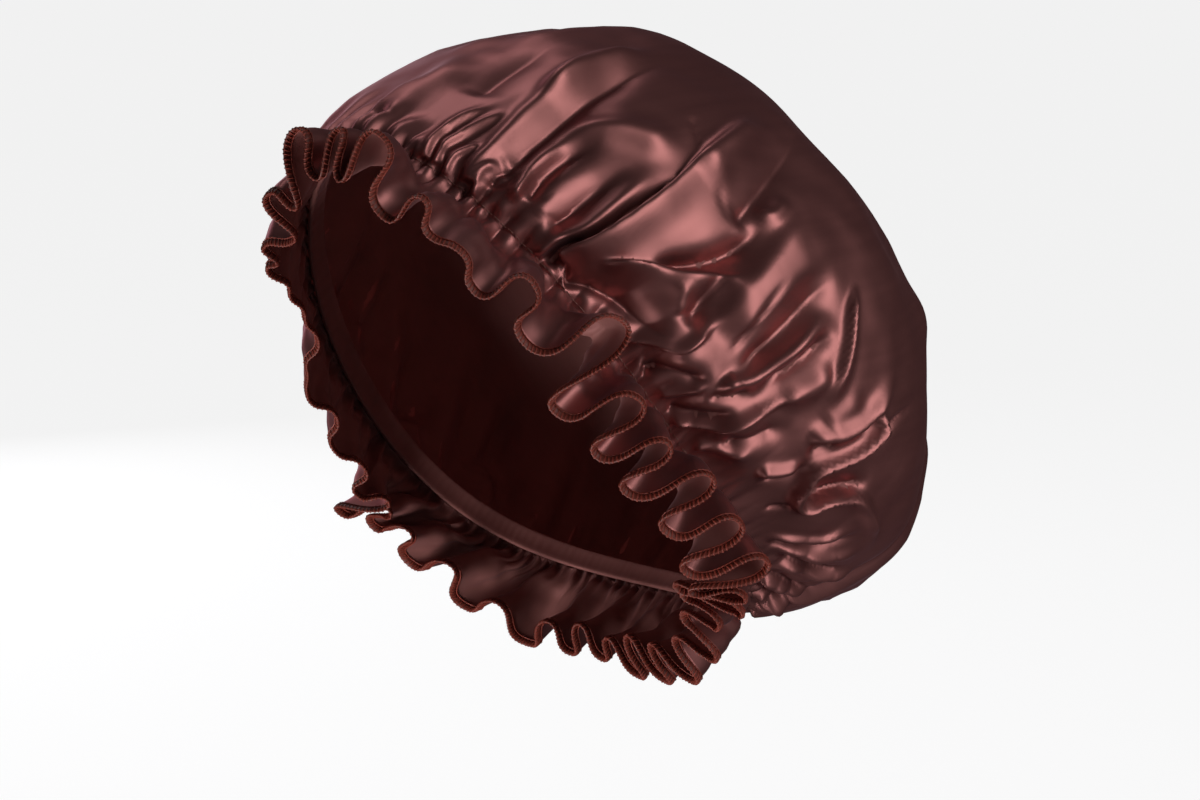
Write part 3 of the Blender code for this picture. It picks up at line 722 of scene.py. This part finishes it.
# It starts a little way inside the bag's rim, and its edge goes on a little into the overlock.
hem_depth, edge_allowance = 1.8, 1.6
rim, _, rim_out, rim_ahead = elastic_frame(frill_degrees[0])
hem = rim + rim_out * (rim_tucks(frill_degrees[0]) - BAG_WALL)[:, None] - rim_ahead * hem_depth
frill = np.concatenate([[hem], frill])
frill_out = -loop_normals(frill)
edge = frill[-1]
edge_round = unit(np.roll(edge, -1, 0) - np.roll(edge, 1, 0))
edge_away = edge - frill[-4]
edge_away = unit(edge_away - edge_round * np.einsum("ij,ij->i", edge_away, edge_round)[:, None])
frill = np.concatenate([frill, [edge + edge_away * edge_allowance]])
frill_out = np.concatenate([frill_out, frill_out[-1:]])
# A front and a back, joined along the hem and the edge.
rows, columns = frill.shape[:2]
both = np.concatenate([frill + FRILL_HALF_WALL * frill_out, frill - FRILL_HALF_WALL * frill_out])
last_row, back_hem = (rows - 1) * columns, rows * columns
back_last_row = back_hem + last_row
faces = loop_quads(rows, columns, 0, True)
faces += loop_quads(rows, columns, back_hem)
faces += row_quads(0, back_hem, columns)
faces += row_quads(back_last_row, last_row, columns)
grid_faces = (rows - 1) * columns
sides = [0] * grid_faces + [1] * grid_faces + [0] * (2 * columns)
gone = np.linalg.norm(np.diff(edge, axis=0, prepend=edge[-1:]), axis=1).cumsum()
drop = np.concatenate([[-hem_depth], reaches, [FRILL_DEPTH + edge_allowance]])
lie = np.stack(np.broadcast_arrays(gone[None] * 0.001, drop[:, None] * 0.001 + DISC_RADIUS), -1)
lie = lie.reshape(-1, 2)
satin_frill = cloth_piece(
    "satin_frill", both.reshape(-1, 3), faces, [glossy_satin, satin_reverse], sides,
    np.concatenate([lie, lie]),
)
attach(satin_frill, "root")
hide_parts("ruffle")

# The overlocked edge: the cloth is rolled under and bound with redder thread that wraps the edge
# every 1.3 mm, with a line of needle thread along both faces.
STITCH_PITCH = 1.30
STITCH_RADIUS, NEEDLE_RADIUS = 0.26, 0.24
BAND_HALF_WIDTH, BAND_HALF_THICKNESS = 1.28, 0.48
edge_steps = np.append(gone - gone[0], gone[-1] - gone[0] + np.linalg.norm(edge[0] - edge[-1]))
edge_length = edge_steps[-1]
edge_face = np.cross(edge_round, edge_away)
band_middle = edge + edge_away * 2.25


def on_band(spots, outer, proud):
    """Places at distances along the edge: this far outside the band's middle, and proud of it."""
    spots = np.mod(spots, edge_length)

    def along_edge(values):
        closed = np.concatenate([values, values[:1]])
        return np.stack([np.interp(spots, edge_steps, closed[:, k]) for k in range(3)], -1)

    outer, proud = (np.broadcast_to(x, spots.shape)[:, None] for x in (outer, proud))
    return along_edge(band_middle) + along_edge(edge_away) * outer + along_edge(edge_face) * proud


def thread_tubes(lines, radius, closed, start=0):
    """Places and faces of threads, each along its own line of places and closed at its ends."""
    sides = 5
    turn = 2 * math.pi * np.arange(sides) / sides
    places, faces = [], []
    for line in lines:
        run = (np.roll(line, -1, 0) - np.roll(line, 1, 0)) if closed else np.gradient(line, axis=0)
        run = unit(run)
        first = unit(np.cross(run, run[[0]] + [0.31, 0.72, -0.55]))[:, None]
        second = np.cross(run, first[:, 0])[:, None]
        ring = first * np.cos(turn)[None, :, None] + second * np.sin(turn)[None, :, None]
        places.append((line[:, None] + radius * ring).reshape(-1, 3))
        rings = len(line)
        faces += loop_quads(rings, sides, start)
        last = start + (rings - 1) * sides
        if closed:
            faces += row_quads(last, start, sides)
        else:
            faces += [list(range(start, start + sides))[::-1], list(range(last, last + sides))]
        start += rings * sides
    return np.concatenate(places), faces


def thread(name, deep, warm, scale):
    """Spun polyester thread: soft, slightly uneven, with a fine twist."""
    finish, start, shader = start_finish(name)
    solid = start.node("ShaderNodeTexCoord", {}, {}, 3)
    fuzz = start.node("ShaderNodeTexNoise", {}, {"Vector": solid, "Scale": scale, "Detail": 3.0})
    worn = start.node("ShaderNodeTexNoise", {}, {"Vector": solid, "Scale": 90.0, "Detail": 2.0})
    relief = start.node("ShaderNodeBump", {}, {"Strength": 0.5, "Distance": 0.0001, "Height": fuzz})
    join_up(shader, {
        "Base Color": (fuzz * 0.6 + worn * 0.4).tint(deep, warm),
        "Roughness": fuzz * 0.2 + 0.45,
        "Normal": relief,
    })
    return finish


russet_thread = thread("russet_thread", (0.16, 0.022, 0.012, 1), (0.27, 0.040, 0.022, 1), 5200.0)
rolled_cloth = thread("rolled_cloth", (0.10, 0.016, 0.009, 1), (0.16, 0.027, 0.015, 1), 2600.0)

band_sides = 10
band = []
for turn in 2 * math.pi * np.arange(band_sides) / band_sides:
    outer, proud = BAND_HALF_WIDTH * math.cos(turn), BAND_HALF_THICKNESS * math.sin(turn)
    band.append(band_middle + edge_away * outer + edge_face * proud)
faces = loop_quads(band_sides, len(edge), 0, True)
faces += row_quads(0, (band_sides - 1) * len(edge), len(edge))
edge_roll = cloth_piece("frill_edge_roll", np.concatenate(band), faces, [rolled_cloth])
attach(edge_roll, "root")
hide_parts("overlock_edge")

rng = random.Random(23)
stitch_count = round(edge_length / STITCH_PITCH)
wrap = 2 * math.pi * np.arange(12) / 12
stitches = []
for s in range(stitch_count):
    stitch_middle = (s + rng.uniform(-0.10, 0.10)) * edge_length / stitch_count
    slant = 0.30 + rng.uniform(-0.12, 0.12)
    high = 0.50 + rng.uniform(-0.04, 0.04)
    wide = BAND_HALF_WIDTH + rng.uniform(-0.05, 0.05)
    stitches.append(on_band(stitch_middle + slant * np.cos(wrap), wide * np.cos(wrap), high * np.sin(wrap)))
stitch_places, stitch_faces = thread_tubes(stitches, STITCH_RADIUS, True)
steps = np.arange(3 * stitch_count) / 3
needle_lines = [
    on_band(steps * edge_length / stitch_count, -1.30, face * (0.52 + 0.14 * np.cos(2 * math.pi * steps)))
    for face in (1, -1)
]
needle_places, needle_faces = thread_tubes(needle_lines, NEEDLE_RADIUS, True, len(stitch_places))
overlock = cloth_piece(
    "overlock_thread", np.concatenate([stitch_places, needle_places]),
    stitch_faces + needle_faces, [russet_thread],
)
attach(overlock, "root")

# The row of stitches that holds the elastic: brown thread laid over the gathers, drawn in with
# them so that it dips into each valley.
SEAM_ALONG, SEAM_LIFT, SEAM_RADIUS = 0.008, 0.12, 0.17
DASH_PITCH, DASH_SHARE = 3.3, 0.74
seam_row = int(np.searchsorted(bag_alongs, SEAM_ALONG))
seam = gathers[seam_row] + loop_normals(gathers)[seam_row] * SEAM_LIFT
seam = np.concatenate([seam, seam[:1]])
seam_steps = np.append(0, np.linalg.norm(np.diff(seam, axis=0), axis=1).cumsum())
seam_length = seam_steps[-1]
dash_count = round(seam_length / DASH_PITCH)
dashes = []
for s in range(dash_count):
    spots = np.mod((s + np.linspace(0, DASH_SHARE, 6)) * seam_length / dash_count, seam_length)
    dashes.append(np.stack([np.interp(spots, seam_steps, seam[:, k]) for k in range(3)], -1))
dash_places, dash_faces = thread_tubes(dashes, SEAM_RADIUS, False)
brown_thread = thread("brown_thread", (0.12, 0.045, 0.036, 1), (0.26, 0.11, 0.09, 1), 5200.0)
elastic_stitches = cloth_piece("elastic_stitches", dash_places, dash_faces, [brown_thread])
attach(elastic_stitches, "root")

# The place it is photographed in: a wide pale floor well below, a tall soft light to the camera's
# right for the sheen, and weak ones: overhead and behind, in front, low down to open up the
# inside, and on the far side.
floor_half, floor_height = 9, -0.34
floor_mesh = bpy.data.meshes.new("pale_floor")
corners = [(x * floor_half, y * floor_half, floor_height) for x, y in ((-1, -1), (1, -1), (1, 1), (-1, 1))]
floor_mesh.from_pydata(corners, [], [(0, 1, 2, 3)])
pale_floor = bpy.data.objects.new("pale_floor", floor_mesh)
bpy.context.scene.collection.objects.link(pale_floor)
floor_finish, start, shader = start_finish("pale_floor")
join_up(shader, {
    "Base Color": (0.22, 0.22, 0.225, 1), "Roughness": 0.95, "Specular IOR Level": 0.05,
    "Emission Color": start.node("ShaderNodeLightPath", {}, {}), "Emission Strength": 0.87,
})
floor_mesh.materials.append(floor_finish)

LIGHTS = [
    # name, its way as the camera sees it (right, up, back), distance, width, height, power, colour
    ("key_light", (0.76, 0.16, 0.63), 1.6, 0.70, 1.60, 15, (1.0, 0.96, 0.95)),
    ("top_light", (-0.28, 0.90, -0.30), 1.5, 0.70, 0.50, 3.2, (0.98, 0.98, 1.0)),
    ("front_light", (-0.85, -0.25, 0.45), 1.7, 1.0, 1.0, 2.5, (0.97, 0.97, 1.0)),
    ("low_light", (-0.55, -0.70, 0.45), 0.5, 0.24, 0.24, 2.4, (1.0, 0.97, 0.95)),
    ("far_light", (-0.45, 0.30, -0.85), 1.7, 1.0, 0.9, 7.0, (0.97, 0.98, 1.0)),
]
lit_middle = Vector((0.0, 0.03, 0.03))
for name, (right, up, back), distance, width, height, power, colour in LIGHTS:
    lamp = bpy.data.objects.new(name, bpy.data.lights.new(name, "AREA"))
    lamp.data.shape, lamp.data.size, lamp.data.size_y = "RECTANGLE", width, height
    lamp.data.energy, lamp.data.color = power, colour
    way = (view_right * right + view_up * up + view_back * back).normalized()
    lamp.location = lit_middle + way * distance
    lamp.rotation_euler = way.to_track_quat("Z", "Y").to_euler()
    bpy.context.scene.collection.objects.link(lamp)

world = bpy.context.scene.world or bpy.data.worlds.new("studio")
bpy.context.scene.world = world
world.use_nodes = True
sky = Wire(world.node_tree)
seen_straight = sky.node("ShaderNodeLightPath", {}, {})
backdrop = world.node_tree.nodes["Background"]
backdrop.inputs["Color"].default_value = (1.0, 1.0, 1.0, 1)
join_up(backdrop, {"Strength": seen_straight * 0.94 + 0.04})
bpy.context.scene.view_settings.view_transform = "Standard"
